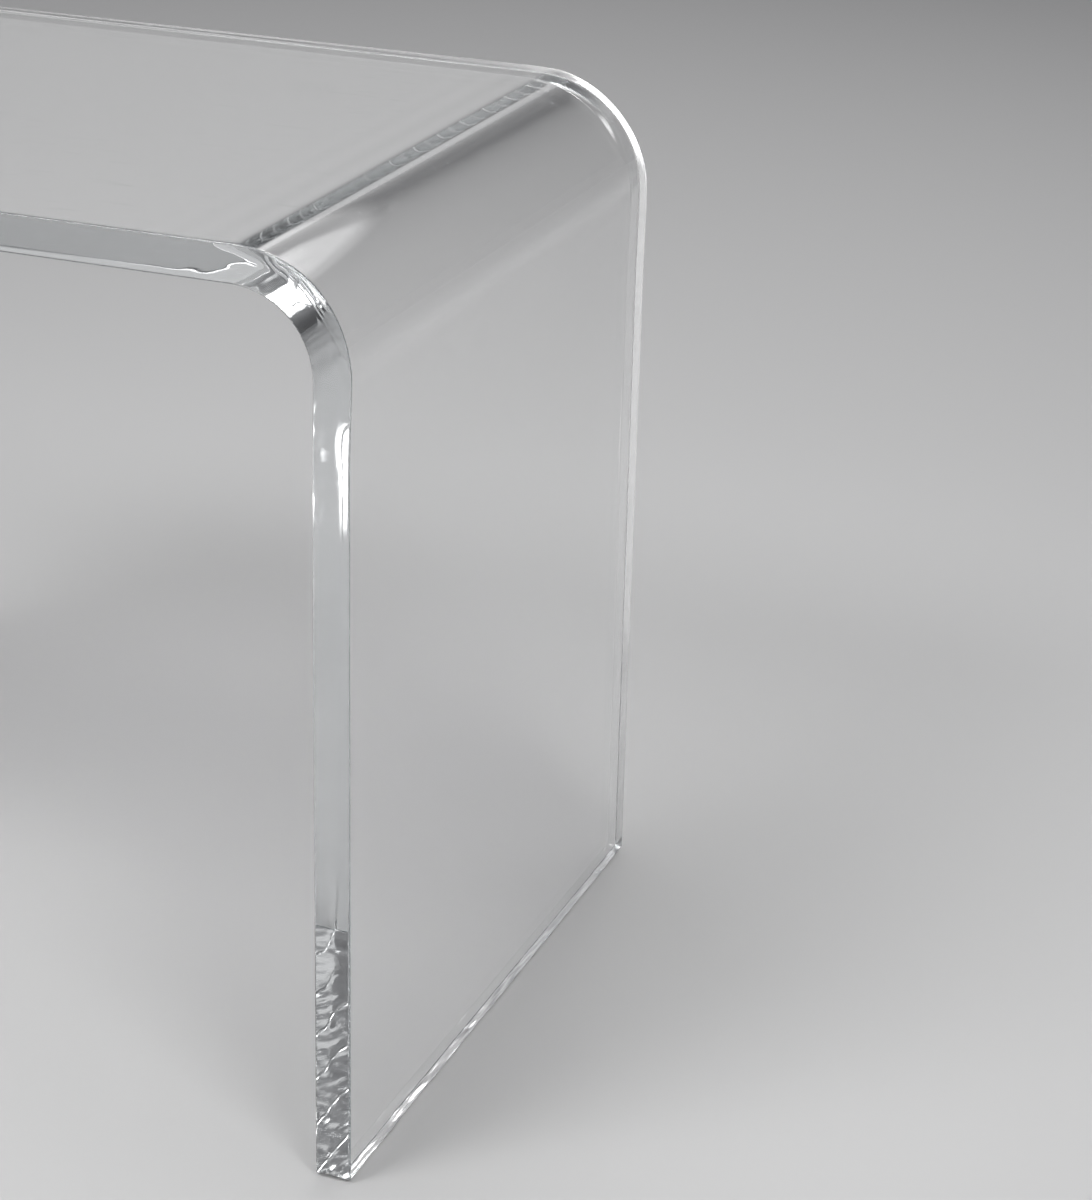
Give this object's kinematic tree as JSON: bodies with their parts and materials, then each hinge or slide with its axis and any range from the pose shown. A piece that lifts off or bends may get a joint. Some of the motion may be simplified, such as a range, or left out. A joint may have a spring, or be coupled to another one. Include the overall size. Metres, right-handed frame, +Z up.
{
  "type": "sled end table",
  "caption": "Low clear end table: one thick acrylic sheet heat-bent into a flat top and two full-depth panel legs, standing on small clear bumpers under its foot edges.",
  "frame": {"origin": "on the floor, under the middle of the top", "axes": "+X towards the right leg, along the span of the top; +Y towards the back, along the leg panels; +Z up"},
  "size_m": [0.559, 0.381, 0.4586],
  "materials": {
    "clear_acrylic": "water-clear cast acrylic, polished faces and long edges, satin foot edges",
    "clear_bumper": "soft clear polyurethane, satin"
  },
  "bodies": {
    "root": {"bent_acrylic_sheet": "clear_acrylic", "floor_bumper_front_left": "clear_bumper", "floor_bumper_front_right": "clear_bumper", "floor_bumper_rear_left": "clear_bumper", "floor_bumper_rear_right": "clear_bumper"}
  },
  "joints": []
}
